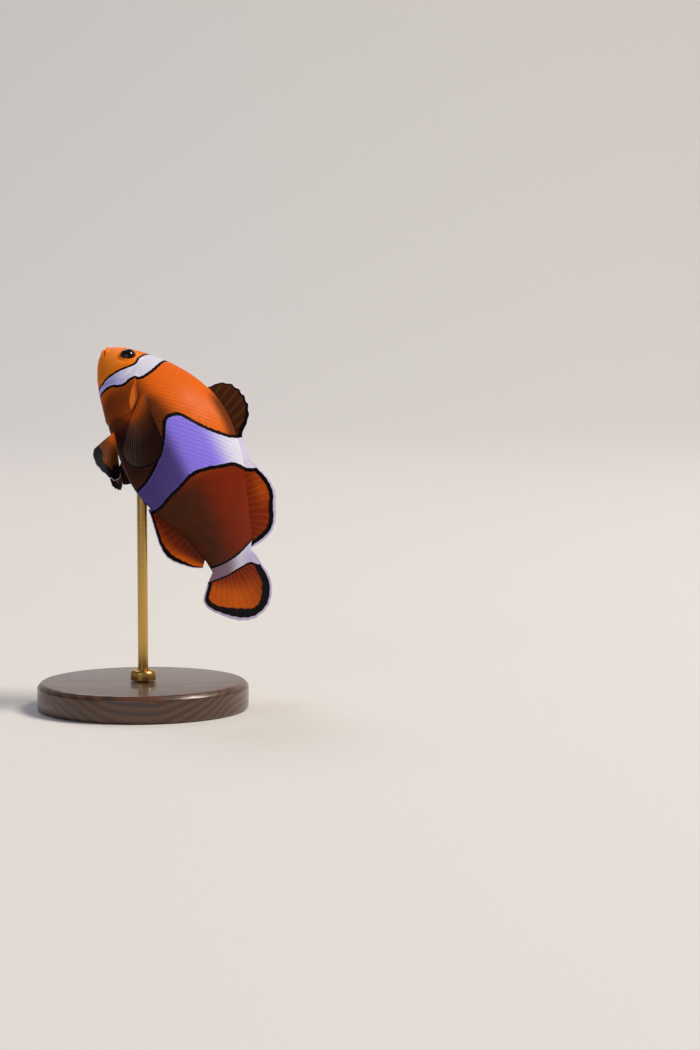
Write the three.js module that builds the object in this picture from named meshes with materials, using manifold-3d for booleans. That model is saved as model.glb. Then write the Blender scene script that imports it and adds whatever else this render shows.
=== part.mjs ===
// A common clownfish, Amphiprion ocellaris, turning as it swims, on a small display stand.
// Millimetres, +Z up. The origin is the centre of the base's underside, on the floor.
// The fish noses up and to -X, with its left side to -Y, bent so that head and tail turn to +Y.
//
// The fish is drawn straight first, in its own space [s, w, h]: s runs from the snout to the
// tail, w to the fish's left and h to its back, all in fractions of the standard length.
// bend() then lays that space along the curved spine, in millimetres.

import * as THREE from 'three';
import { mergeVertices } from 'three/addons/utils/BufferGeometryUtils.js';
import Module from 'manifold-3d';

// ---- Driving dimensions, mm and degrees ----

const LENGTH = 64;                // standard length: snout to the end of the tail stalk
const GAP = 0.3;                  // clearance between pieces that meet
const FIN_ROOT = 0.9;             // thickness of a fin at its root
const FIN_EDGE = 0.5;             // thickness of a fin at its free edge

const HEAD_TURN = 33;             // how far the head turns to the right of the trunk
const TAIL_TURN = 36;             // how far the tail stalk turns to the right of the trunk
const FIN_TURN = 44;              // how far the tail fin's edge turns
const NOSE_UP = 61.1;             // the trunk's tilt, head up
const HEADING = -2.9;             // the trunk's turn about +Z
const BANK = -26.4;               // the trunk's roll, belly towards -Y
const PIVOT = 0.55;               // place along the spine that the pose turns about

const EYE = { s: 0.114, h: 0.032, radius: 2.25, depth: 1.6, inset: 0.8 };

const BASE = { radius: 25, height: 6.5, chamfer: 1 };
const ROD = { radius: 1.2, socket: 4.5, grip: 8, entry: 0.6, side: -0.022 };
const COLLAR = { radius: 3, height: 2.4 };
const CLEARANCE = 12;             // from the base's top to the lowest fin

const RING = 28;                  // sides of the body's section
const COLOUR = { orange: '#d9691c', eye: '#1c1512', walnut: '#4a2f1e', brass: '#b08d4a' };

// ---- Straight fish: outline, section and spine ----

// Depth above and below the spine, and half width. The values are spaced evenly along the
// square root of s, so that they lie closest on the snout.
const BACK = [0, 0.029, 0.056, 0.086, 0.12, 0.157, 0.193, 0.225, 0.239, 0.226, 0.186, 0.131, 0.104];
const BELLY = [0, 0.026, 0.05, 0.077, 0.108, 0.138, 0.168, 0.196, 0.222, 0.238, 0.202, 0.114, 0.08];
const WIDTH = [0, 0.022, 0.042, 0.06, 0.075, 0.086, 0.093, 0.095, 0.09, 0.076, 0.055, 0.034, 0.018];
const BACK_RIDGE = 0.22;          // how much the section narrows towards the back

const radians = THREE.MathUtils.degToRad;
const smooth = (from, to, x) => THREE.MathUtils.smoothstep(x, from, to);

// A uniform cubic B-spline through the profile values, ended straight.
function profile(values, s) {
  const last = values.length - 1;
  const x = Math.min(Math.sqrt(Math.max(s, 0)), 1 - 1e-9) * last;
  const i = Math.floor(x);
  const t = x - i;
  const at = (k) => {
    if (k < 0) return 2 * values[0] - values[1];
    if (k > last) return 2 * values[last] - values[last - 1];
    return values[k];
  };
  const weights = [
    (1 - t) ** 3,
    3 * t ** 3 - 6 * t * t + 4,
    -3 * t ** 3 + 3 * t * t + 3 * t + 1,
    t ** 3,
  ];
  return weights.reduce((sum, weight, k) => sum + weight * at(i - 1 + k), 0) / 6;
}

const back = (s) => profile(BACK, s);
const belly = (s) => -profile(BELLY, s);
const halfWidth = (s) => profile(WIDTH, s);

// A point of the skin: angle 0 is the back, a quarter turn the left side.
function skin(s, angle) {
  const cos = Math.cos(angle);
  const middle = (back(s) + belly(s)) / 2;
  const half = (back(s) - belly(s)) / 2;
  const ridge = 1 - BACK_RIDGE * Math.max(0, cos) ** 2;
  return [s, halfWidth(s) * Math.sin(angle) * ridge, middle + half * cos];
}

// How far out the left side is at height h, and how low the belly is at width w.
function sideAt(s, h) {
  const middle = (back(s) + belly(s)) / 2;
  const half = (back(s) - belly(s)) / 2;
  const angle = Math.acos(THREE.MathUtils.clamp((h - middle) / half, -1, 1));
  return skin(s, angle)[1];
}

function bellyAt(s, w) {
  const middle = (back(s) + belly(s)) / 2;
  const half = (back(s) - belly(s)) / 2;
  return middle - half * Math.sqrt(Math.max(0, 1 - (w / halfWidth(s)) ** 2));
}

// The spine's direction, in degrees to the right of the trunk's.
function heading(s) {
  const head = -HEAD_TURN * (1 - smooth(0.12, 0.62, s));
  const tail = TAIL_TURN * smooth(0.55, 1.02, s);
  return head + tail + (FIN_TURN - TAIL_TURN) * smooth(0.95, 1.15, s);
}

// The spine as points every STEP, from the sum of its directions.
const STEP = 1 / 256;
const spine = [{ x: 0, y: 0 }];
for (let i = 0; i < 1.5 / STEP; i += 1) {
  const turn = radians(heading((i + 0.5) * STEP));
  const { x, y } = spine[i];
  spine.push({ x: x + STEP * Math.cos(turn), y: y + STEP * Math.sin(turn) });
}

function spineAt(s) {
  const first = THREE.MathUtils.clamp(Math.floor(s / STEP), 0, spine.length - 2);
  const t = s / STEP - first;
  const [a, b] = [spine[first], spine[first + 1]];
  return { x: a.x + (b.x - a.x) * t, y: a.y + (b.y - a.y) * t };
}

// From straight space to the bent fish: x towards the tail, y to its right, z to its back.
function bend([s, w, h]) {
  const pivot = spineAt(PIVOT);
  const { x, y } = spineAt(s);
  const turn = radians(heading(s));
  const point = [x - pivot.x + w * Math.sin(turn), y - pivot.y - w * Math.cos(turn), h];
  return new THREE.Vector3(...point).multiplyScalar(LENGTH);
}

// ---- Closed meshes and cuts ----

const wasm = await Module();
wasm.setup();

function geometryOf(points, triangles) {
  const geometry = new THREE.BufferGeometry();
  geometry.setAttribute('position', new THREE.Float32BufferAttribute(points.flat(), 3));
  geometry.setIndex(triangles);
  return geometry;
}

function solidOf(geometry) {
  const bare = geometry.clone();
  bare.deleteAttribute('normal');
  bare.deleteAttribute('uv');
  const merged = mergeVertices(bare, 1e-5);
  const triVerts = new Uint32Array(merged.index.array);
  const vertProperties = new Float32Array(merged.attributes.position.array);
  return new wasm.Manifold(new wasm.Mesh({ numProp: 3, vertProperties, triVerts }));
}

// Turns a closed mesh's faces round if they point in, as they do after bend(), which mirrors.
function outwards(geometry) {
  const index = geometry.index.array;
  const point = (k) => new THREE.Vector3().fromBufferAttribute(geometry.attributes.position, index[k]);
  let volume = 0;
  for (let k = 0; k < index.length; k += 3) {
    volume += point(k).dot(point(k + 1).cross(point(k + 2)));
  }
  if (volume < 0) index.reverse();
  return geometry;
}

// The geometry of a solid, with each vertex passed through a map such as bend.
function geometryFrom(solid, map = (point) => new THREE.Vector3(...point)) {
  const mesh = solid.getMesh();
  const points = [];
  for (let i = 0; i < mesh.vertProperties.length; i += mesh.numProp) {
    points.push(map(Array.from(mesh.vertProperties.slice(i, i + 3))).toArray());
  }
  return outwards(geometryOf(points, Array.from(mesh.triVerts)));
}

// A prism of an outline of [s, h] points, from width w0 to width w1.
function prism(outline, w0, w1) {
  const shape = new THREE.Shape(outline.map(([s, h]) => new THREE.Vector2(s, h)));
  const geometry = new THREE.ExtrudeGeometry(shape, { depth: w1 - w0, bevelEnabled: false });
  geometry.rotateX(Math.PI / 2);
  geometry.translate(0, w1, 0);
  return solidOf(geometry);
}

// A box across the whole fish from one place along it to another.
const slab = (s0, s1) => prism([[s0, -0.5], [s1, -0.5], [s1, 0.5], [s0, 0.5]], -0.5, 0.5);

// An outline grown on every side by the gap, for the room round a piece.
function grown(outline) {
  const points = outline.map(([s, h]) => new THREE.Vector2(s, h));
  return points.map((point, i) => {
    const before = points[(i + points.length - 1) % points.length];
    const after = points[(i + 1) % points.length];
    const along = (from, to) => to.clone().sub(from).normalize();
    const outward = (edge) => new THREE.Vector2(edge.y, -edge.x);
    const [n0, n1] = [outward(along(before, point)), outward(along(point, after))];
    const mitre = n0.clone().add(n1).divideScalar(1 + n0.dot(n1));
    return point.clone().addScaledVector(mitre, GAP / LENGTH).toArray();
  });
}

// ---- Flesh ----

const SPLIT = { trunk: 0.322, tail: 0.665, end: 1.0 };
const RINGS = 46;

// The whole body as one closed skin, from the snout's pole to the end of the tail stalk.
function wholeBody() {
  const points = [[0, 0, 0]];
  const triangles = [];
  const id = (ring, side) => 1 + (ring - 1) * RING + ((side + RING) % RING);
  for (let ring = 1; ring <= RINGS; ring += 1) {
    const s = (ring / RINGS) ** 1.6 * SPLIT.end;
    for (let side = 0; side < RING; side += 1) {
      points.push(skin(s, (side / RING) * 2 * Math.PI));
    }
  }
  points.push([SPLIT.end, 0, 0]);
  const pole = points.length - 1;
  for (let side = 0; side < RING; side += 1) {
    triangles.push(0, id(1, side), id(1, side + 1));
    triangles.push(pole, id(RINGS, side + 1), id(RINGS, side));
    for (let ring = 1; ring < RINGS; ring += 1) {
      const [a, b] = [id(ring, side), id(ring, side + 1)];
      const [c, d] = [id(ring + 1, side), id(ring + 1, side + 1)];
      triangles.push(a, c, b, b, c, d);
    }
  }
  return solidOf(geometryOf(points, triangles));
}

// The lower jaw, from the mouth's cleft down, and the gill cover behind the cheek.
const JAW = [[-0.02, 0.001], [-0.02, -0.2], [0.1, -0.2], [0.098, -0.075], [0.055, -0.034], [0.02, -0.004]];
const GILL = [
  [0.2, -0.115], [0.245, -0.148], [0.29, -0.152], [0.314, -0.125],
  [0.313, -0.09], [0.29, -0.052], [0.258, -0.024], [0.232, 0.004], [0.2, 0.012], [0.188, -0.045],
];
const GILL_INNER = 0.045;

const gap = GAP / LENGTH;
const body = wholeBody();
const cutters = {
  jaw: prism(JAW, -0.5, 0.5),
  jawRoom: prism(grown(JAW), -0.5, 0.5),
  gillLeft: prism(GILL, GILL_INNER, 0.5),
  gillRight: prism(GILL, -0.5, -GILL_INNER),
  gillRoomLeft: prism(grown(GILL), GILL_INNER - gap, 0.5),
  gillRoomRight: prism(grown(GILL), -0.5, gap - GILL_INNER),
};

const flesh = {
  head: body.intersect(slab(-0.5, SPLIT.trunk - gap))
    .subtract(cutters.jawRoom)
    .subtract(cutters.gillRoomLeft)
    .subtract(cutters.gillRoomRight),
  lower_jaw: body.intersect(cutters.jaw),
  gill_cover_left: body.intersect(cutters.gillLeft),
  gill_cover_right: body.intersect(cutters.gillRight),
  trunk: body.intersect(slab(SPLIT.trunk, SPLIT.tail - gap)),
  tail: body.intersect(slab(SPLIT.tail, 1.5)),
};

// ---- Eyes ----

// The eye is a ball flattened from side to side; side is 1 for the left one, -1 for the right.
function eyeGeometry(side, margin = 0) {
  const geometry = new THREE.SphereGeometry(1, 18, 12);
  geometry.scale(EYE.radius + margin, EYE.depth + margin, EYE.radius + margin);
  geometry.rotateZ(radians(heading(EYE.s)));
  const w = side * (sideAt(EYE.s, EYE.h) - EYE.inset / LENGTH);
  return geometry.translate(...bend([EYE.s, w, EYE.h]).toArray());
}

// ---- Fins ----

// A smooth curve through points of straight space.
function curve(points) {
  const vectors = points.map((point) => new THREE.Vector3(...point));
  const path = new THREE.CatmullRomCurve3(vectors, false, 'catmullrom', 0.5);
  return (t) => path.getPoint(t).toArray();
}

// Outline points [s, h] of a fin that stands on the midline.
const onMidline = (points) => points.map(([s, h]) => [s, 0, h]);

// A fin as rays from its root to its tips: thickest at the root, with both faces and all
// four edges closed. bow lifts its middle out of the flat.
function finGeometry({ root, tip, across, along, bow = 0 }) {
  const at = (t, v) => {
    const from = new THREE.Vector3(...root(t));
    return from.lerp(new THREE.Vector3(...tip(t)), v);
  };
  const faces = [[], []];
  for (let i = 0; i <= across; i += 1) {
    for (let j = 0; j <= along; j += 1) {
      const [t, v] = [i / across, j / along];
      const [t0, t1] = [Math.max(t - 0.01, 0), Math.min(t + 0.01, 1)];
      const [v0, v1] = [Math.max(v - 0.05, 0), Math.min(v + 0.05, 1)];
      const over = at(t1, v).sub(at(t0, v));
      const out = at(t, v1).sub(at(t, v0));
      const normal = over.cross(out).normalize();
      const thickness = THREE.MathUtils.lerp(FIN_ROOT, FIN_EDGE, Math.min(1, v * 1.6));
      const lift = bow * Math.sin(Math.PI * t) * v * (2 - v);
      const middle = at(t, v).addScaledVector(normal, lift);
      [1, -1].forEach((sign, k) => {
        const offset = (sign * thickness) / 2 / LENGTH;
        faces[k].push(bend(middle.clone().addScaledVector(normal, offset).toArray()).toArray());
      });
    }
  }
  const count = faces[0].length;
  const id = (i, j) => i * (along + 1) + j;
  const triangles = [];
  const quad = (a, b, c, d) => triangles.push(a, b, c, a, c, d);
  for (let i = 0; i < across; i += 1) {
    for (let j = 0; j < along; j += 1) {
      quad(id(i, j), id(i, j + 1), id(i + 1, j + 1), id(i + 1, j));
      quad(count + id(i, j), count + id(i + 1, j), count + id(i + 1, j + 1), count + id(i, j + 1));
    }
    quad(id(i, 0), id(i + 1, 0), count + id(i + 1, 0), count + id(i, 0));
    quad(id(i + 1, along), id(i, along), count + id(i, along), count + id(i + 1, along));
  }
  for (let j = 0; j < along; j += 1) {
    quad(id(0, j + 1), id(0, j), count + id(0, j), count + id(0, j + 1));
    quad(id(across, j), id(across, j + 1), count + id(across, j + 1), count + id(across, j));
  }
  return outwards(geometryOf(faces.flat(), triangles));
}

// Fins on the midline: a root along the body from one place to another, and the tips' outline.
function medianFin(edge, from, to, tips, across, along) {
  const root = (t) => {
    const s = THREE.MathUtils.lerp(from, to, t);
    const h = edge(s);
    return [s, 0, h + Math.sign(h) * gap];
  };
  return { root, tip: curve(onMidline(tips)), across, along };
}

// Tips of a fin whose rays spread like a fan from its root, about the direction axis [s, w, h].
// across is the direction from its first ray to its last. The middle rays are the longest.
function fanTips(root, { axis, across, length, spread }) {
  const forward = new THREE.Vector3(...axis).normalize();
  const sideways = new THREE.Vector3(...across);
  sideways.addScaledVector(forward, -sideways.dot(forward)).normalize();
  return (t) => {
    const angle = radians(spread) * (t - 0.5);
    const reach = length * (1 - 0.28 * Math.abs(2 * t - 1) ** 3);
    return new THREE.Vector3(...root(t))
      .addScaledVector(forward, reach * Math.cos(angle))
      .addScaledVector(sideways, reach * Math.sin(angle))
      .toArray();
  };
}

const FINS = {
  dorsal_fin_spiny: medianFin(back, 0.352, 0.665, [
    [0.355, 0.238], [0.357, 0.272], [0.378, 0.307], [0.412, 0.326], [0.447, 0.331],
    [0.485, 0.326], [0.523, 0.307], [0.55, 0.277], [0.572, 0.247], [0.615, 0.234], [0.668, 0.228],
  ], 20, 4),
  dorsal_fin_soft: medianFin(back, 0.674, 0.985, [
    [0.677, 0.23], [0.712, 0.24], [0.748, 0.254], [0.788, 0.264], [0.83, 0.265], [0.875, 0.25],
    [0.93, 0.232], [0.968, 0.207], [0.986, 0.172], [0.992, 0.14], [0.991, 0.116],
  ], 18, 5),
  anal_fin: medianFin(belly, 0.65, 0.925, [
    [0.648, -0.2205], [0.672, -0.223], [0.7, -0.2285], [0.735, -0.235], [0.787, -0.241], [0.837, -0.234],
    [0.875, -0.212], [0.91, -0.179], [0.938, -0.148], [0.961, -0.111],
  ], 16, 5),
  caudal_fin: {
    root: (t) => [SPLIT.end + gap, 0, THREE.MathUtils.lerp(back(1) - 0.002, belly(1) + 0.002, t)],
    tip: curve(onMidline([
      [1.03, 0.114], [1.095, 0.131], [1.155, 0.149], [1.215, 0.156], [1.278, 0.144], [1.32, 0.115],
      [1.335, 0.06], [1.315, 0.008], [1.273, -0.04], [1.22, -0.084], [1.16, -0.126],
      [1.105, -0.141], [1.043, -0.112],
    ])),
    across: 22,
    along: 8,
  },
};

// The paired fins: where each is set on the skin, and how the left and the right one is held.
const PECTORAL = { top: [0.308, -0.04], bottom: [0.341, -0.112] };
const PELVIC = { front: 0.345, rear: 0.378, w: 0.03 };
const PECTORAL_FAN = {
  left: { axis: [0.77, 0.34, -0.53], across: [-0.5, 0.1, -0.8], length: 0.245, spread: 34 },
  right: { axis: [0.8, -0.55, -0.25], across: [-0.25, 0.1, -0.95], length: 0.24, spread: 40 },
};
const PELVIC_FAN = {
  left: { axis: [0.54, 0.42, -0.66], across: [0.81, -0.1, 0.4], length: 0.2, spread: 38 },
  right: { axis: [0.76, -0.66, -0.2], across: [0.7, 0.45, 0.56], length: 0.21, spread: 18 },
};

for (const [name, side] of [['left', 1], ['right', -1]]) {
  const pectoralRoot = (t) => {
    const s = THREE.MathUtils.lerp(PECTORAL.top[0], PECTORAL.bottom[0], t);
    const h = THREE.MathUtils.lerp(PECTORAL.top[1], PECTORAL.bottom[1], t);
    return [s, side * (sideAt(s, h) + 2 * gap), h];
  };
  const pelvicRoot = (t) => {
    const s = THREE.MathUtils.lerp(PELVIC.front, PELVIC.rear, t);
    return [s, side * PELVIC.w, bellyAt(s, PELVIC.w) - 2 * gap];
  };
  FINS[`pectoral_fin_${name}`] = {
    root: pectoralRoot,
    tip: fanTips(pectoralRoot, PECTORAL_FAN[name]),
    across: 14,
    along: 5,
    bow: side * 0.012,
  };
  FINS[`pelvic_fin_${name}`] = {
    root: pelvicRoot,
    tip: fanTips(pelvicRoot, PELVIC_FAN[name]),
    across: 12,
    along: 5,
    bow: side * 0.006,
  };
}

// ---- Assembly ----

function material(colour, roughness, metalness = 0) {
  return new THREE.MeshStandardMaterial({ color: colour, roughness, metalness });
}

const MATERIAL = {
  flesh: material(COLOUR.orange, 0.45),
  fin: material(COLOUR.orange, 0.5),
  eye: material(COLOUR.eye, 0.15),
  walnut: material(COLOUR.walnut, 0.4),
  brass: material(COLOUR.brass, 0.35, 1),
};

function named(name, geometry, finish) {
  const mesh = new THREE.Mesh(geometry, finish);
  mesh.name = name;
  return mesh;
}

const fish = new THREE.Group();
fish.rotation.set(radians(BANK), radians(NOSE_UP), radians(HEADING), 'ZYX');
for (const [name, fin] of Object.entries(FINS)) {
  fish.add(named(name, finGeometry(fin), MATERIAL.fin));
}

// The fish stands clear of the base, with the rod's entry in its belly over the origin.
fish.updateMatrixWorld(true);
const entry = fish.localToWorld(bend([ROD.entry, ROD.side, bellyAt(ROD.entry, ROD.side)]));
const lowest = new THREE.Box3().setFromObject(fish, true).min.z;
const lift = BASE.height + CLEARANCE - lowest;
fish.position.set(-entry.x, -entry.y, lift);
fish.updateMatrixWorld(true);
const rodTop = entry.z + lift + ROD.grip;

// The rod's hole, in the fish's own frame.
function rodHole() {
  const top = rodTop + GAP;
  const geometry = new THREE.CylinderGeometry(ROD.radius + GAP, ROD.radius + GAP, top, 24);
  geometry.rotateX(Math.PI / 2);
  geometry.translate(0, 0, top / 2);
  return solidOf(geometry.applyMatrix4(fish.matrixWorld.clone().invert()));
}

for (const [name, solid] of Object.entries(flesh)) {
  let geometry = geometryFrom(solid, bend);
  if (name === 'head') {
    const sockets = [1, -1].map((side) => solidOf(eyeGeometry(side, GAP)));
    geometry = geometryFrom(solidOf(geometry).subtract(sockets[0]).subtract(sockets[1]));
  }
  if (name === 'trunk') geometry = geometryFrom(solidOf(geometry).subtract(rodHole()));
  fish.add(named(name, geometry, MATERIAL.flesh));
}
fish.add(named('eye_left', eyeGeometry(1), MATERIAL.eye));
fish.add(named('eye_right', eyeGeometry(-1), MATERIAL.eye));

// ---- Stand ----

// A turned piece about the Z axis, from a profile of [radius, height] points.
function turned(points, sides) {
  const geometry = new THREE.LatheGeometry(points.map(([r, z]) => new THREE.Vector2(r, z)), sides);
  return geometry.rotateX(Math.PI / 2);
}

// A round base with a chamfered top edge and a blind socket for the rod.
function baseGeometry() {
  const { radius, height, chamfer } = BASE;
  const bore = ROD.radius + GAP;
  return turned([
    [0, 0], [radius - chamfer / 2, 0], [radius, chamfer / 2], [radius, height - chamfer],
    [radius - chamfer, height], [bore, height], [bore, height - ROD.socket], [0, height - ROD.socket],
  ], 48);
}

// A ring that covers the socket's mouth, round the rod.
function collarGeometry() {
  const low = BASE.height + GAP;
  const high = low + COLLAR.height;
  const bore = ROD.radius + GAP;
  return turned([
    [bore, low], [COLLAR.radius, low], [COLLAR.radius, high - 0.5],
    [COLLAR.radius - 0.5, high], [bore, high], [bore, low],
  ], 24);
}

function rodGeometry() {
  const low = BASE.height - ROD.socket + GAP;
  return turned([[0, low], [ROD.radius, low], [ROD.radius, rodTop], [0, rodTop]], 20);
}

const model = new THREE.Group();
model.add(fish);
model.add(named('stand_base', baseGeometry(), MATERIAL.walnut));
model.add(named('stand_collar', collarGeometry(), MATERIAL.brass));
model.add(named('stand_rod', rodGeometry(), MATERIAL.brass));

export default model;
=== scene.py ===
"""A common clownfish turning as it swims, as a life-size still model on a small display stand.

Metres, +Z up, in the CAD's frame: the origin is the centre of the base's underside.
The fish noses up and to -X, with its left side to -Y.
"""

import math

import bmesh
import bpy
import numpy as np
from mathutils import Matrix, Vector


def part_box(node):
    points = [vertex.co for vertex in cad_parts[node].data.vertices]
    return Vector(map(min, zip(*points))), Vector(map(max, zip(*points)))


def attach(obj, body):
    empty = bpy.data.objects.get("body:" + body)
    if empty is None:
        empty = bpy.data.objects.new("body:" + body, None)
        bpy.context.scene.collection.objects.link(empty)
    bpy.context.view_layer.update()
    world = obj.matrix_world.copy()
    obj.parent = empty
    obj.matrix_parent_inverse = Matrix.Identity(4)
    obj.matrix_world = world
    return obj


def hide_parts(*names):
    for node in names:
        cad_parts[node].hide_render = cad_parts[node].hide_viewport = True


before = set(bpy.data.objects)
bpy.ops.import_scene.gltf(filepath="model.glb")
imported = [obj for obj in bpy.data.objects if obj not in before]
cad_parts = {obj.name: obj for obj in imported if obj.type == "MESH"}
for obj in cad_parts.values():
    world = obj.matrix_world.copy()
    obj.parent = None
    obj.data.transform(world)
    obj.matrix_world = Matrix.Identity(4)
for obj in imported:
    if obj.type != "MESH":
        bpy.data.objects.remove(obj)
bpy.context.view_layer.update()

# ---- The table and the light ----
# A matt paper sweep that runs level under the stand and curves up behind it. A large soft
# light stands high to the right, with a weak one in front and one at the back, so that the
# fish's back is bright and its belly turns to shade.

# The paper's half width, where it starts, how far it lies flat, its bend's radius, its length.
PAPER = {"half": 3.0, "start": -2.0, "flat": 1.2, "curve": 0.9, "length": 6}
CAMERA = {"place": (0.04903, -0.6169, 0.09757), "down": 5, "lens": 90, "sensor": 36}
LIGHTS = {
    "key": {"place": (1.55, -0.15, 1.9), "size": 0.9, "watts": 56.0, "colour": "#FFF4E6"},
    "fill": {"place": (-0.9, -2.2, 1.0), "size": 1.6, "watts": 8.0, "colour": "#E6EAFF"},
    "back": {"place": (-0.5, 1.3, 1.5), "size": 0.8, "watts": 7.0, "colour": "#F2F0FF"},
}
AIM = Vector((0, 0, 0.05))


def linear(colour):
    """An sRGB hex colour as linear RGBA."""
    parts = [int(colour[i : i + 2], 16) / 255 for i in (1, 3, 5)]
    return (*(c / 12.92 if c <= 0.04045 else ((c + 0.055) / 1.055) ** 2.4 for c in parts), 1)


def put(name, data):
    """Adds an object to the scene."""
    made = bpy.data.objects.new(name, data)
    bpy.context.scene.collection.objects.link(made)
    return made


def node(tree, kind, inputs, out=0, **settings):
    """Adds a shader node with its settings, and links or sets its inputs. Gives one output."""
    made = tree.nodes.new("ShaderNode" + kind)
    for name, value in settings.items():
        setattr(made, name, value)
    for name, value in inputs.items():
        if isinstance(value, bpy.types.NodeSocket):
            tree.links.new(value, made.inputs[name])
        else:
            made.inputs[name].default_value = value
    return made.outputs[out] if made.outputs else None


def new_material(name):
    """An empty material and its node tree."""
    made = bpy.data.materials.new(name)
    made.use_nodes = True
    made.node_tree.nodes.clear()
    return made, made.node_tree


def sweep():
    """A strip of paper, laid flat and then bent up into a wall."""
    level, curve = PAPER["flat"] - PAPER["start"], PAPER["curve"]
    bm = bmesh.new()
    bmesh.ops.create_grid(bm, x_segments=1, y_segments=60, size=1)
    for v in bm.verts:
        run = (v.co.y + 1) / 2 * PAPER["length"]
        angle = min(max(0, run - level) / curve, math.pi / 2)
        rise = max(0, run - level - curve * math.pi / 2)
        y = PAPER["start"] + min(run, level) + curve * math.sin(angle)
        v.co = (v.co.x * PAPER["half"], y, curve * (1 - math.cos(angle)) + rise)
    mesh = bpy.data.meshes.new("paper_sweep")
    bm.to_mesh(mesh)
    bm.free()
    mesh.shade_smooth()
    return mesh


# Matt paper: a pale warm grey with no gloss, and a faint mottling about 1 mm across.
paper, tree = new_material("matt_paper")
spot = node(tree, "TexCoord", {}, 3)
grain = node(tree, "TexNoise", {"Vector": spot, "Scale": 900.0, "Detail": 3.0})
shade = node(tree, "MapRange", {0: grain, 3: 0.985, 4: 1.0})
tone = node(tree, "Mix", {0: shade, 6: (0, 0, 0, 1), 7: linear("#E4E3E1")}, 2, data_type="RGBA")
shader = node(tree, "BsdfPrincipled", {"Base Color": tone, "Roughness": 0.9})
node(tree, "OutputMaterial", {"Surface": shader})

floor = put("paper_sweep", sweep())
floor.data.materials.append(paper)

for name, light in LIGHTS.items():
    data = bpy.data.lights.new(name, "AREA")
    data.size, data.energy = light["size"], light["watts"]
    data.color = linear(light["colour"])[:3]
    lamp = put(name, data)
    lamp.location = light["place"]
    lamp.rotation_euler = (AIM - lamp.location).to_track_quat("-Z", "Y").to_euler()

world = bpy.data.worlds.new("pale_room")
world.use_nodes = True
backdrop = world.node_tree.nodes["Background"]
backdrop.inputs["Color"].default_value = linear("#DFE3EA")
backdrop.inputs["Strength"].default_value = 0.18
bpy.context.scene.world = world
bpy.context.scene.view_settings.view_transform = "Standard"

data = bpy.data.cameras.new("camera")
data.lens, data.sensor_width = CAMERA["lens"], CAMERA["sensor"]
data.clip_start = 0.01
camera = put("camera", data)
camera.location = CAMERA["place"]
camera.rotation_euler = (math.radians(90 - CAMERA["down"]), 0, 0)
bpy.context.scene.camera = camera

# ---- The skin ----
# One smooth skin over head, gill covers, trunk and tail stalk, tough and wet with mucus. It is
# drawn on a straight fish, [s, w, h] in fractions of the standard length from snout to tail,
# to the left and to the back, and then laid on the bent spine and turned into its pose.

MM = 0.001
LENGTH = 64 * MM
COAT = 0.13 * MM                  # how deep the skin lies under the scales' tops
# Heights over and under the snout's level, and half widths, from the snout to the stalk.
BACK = [0, 0.029, 0.056, 0.086, 0.12, 0.157, 0.193, 0.225, 0.239, 0.226, 0.186, 0.131, 0.104]
BELLY = [0, 0.026, 0.05, 0.077, 0.108, 0.138, 0.168, 0.196, 0.222, 0.238, 0.202, 0.114, 0.08]
WIDTH = [0, 0.022, 0.042, 0.06, 0.075, 0.086, 0.093, 0.095, 0.09, 0.076, 0.055, 0.034, 0.018]
BACK_RIDGE = 0.22                 # how much the section narrows towards the back
STALK_END = 1.05                  # where the skin runs out over the tail fin's root
HEAD_TURN, TAIL_TURN, FIN_TURN = 33, 36, 44    # how far the spine bends at each, in degrees
NOSE_UP, HEADING, BANK = 61.1, -2.9, -26.4     # how the bent fish is turned, in degrees
PIVOT = 0.55                      # the place on the spine that it is turned about
FISH_AT = np.array([9.918, 4.322, 58.925]) * MM

# Lines on the straight fish, each from the back down to the belly.
GILL_EDGE = [
    (0.223, 0.012), (0.226, -0.012), (0.252, -0.033), (0.276, -0.047), (0.301, -0.065), (0.319, -0.089),
    (0.322, -0.11), (0.317, -0.138), (0.304, -0.16), (0.283, -0.172), (0.255, -0.185),
]
FLAP_EDGE = [
    (0.238, -0.025), (0.251, -0.048), (0.264, -0.064), (0.28, -0.081), (0.298, -0.094), (0.32, -0.104),
]
CHEEK_EDGE = [
    (0.168, 0.03), (0.186, 0.0), (0.193, -0.03), (0.194, -0.06), (0.184, -0.085), (0.158, -0.104),
    (0.12, -0.11),
]
PECTORAL_BASE = [(0.3, -0.022), (0.308, -0.04), (0.3245, -0.076), (0.341, -0.112), (0.346, -0.124)]
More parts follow.
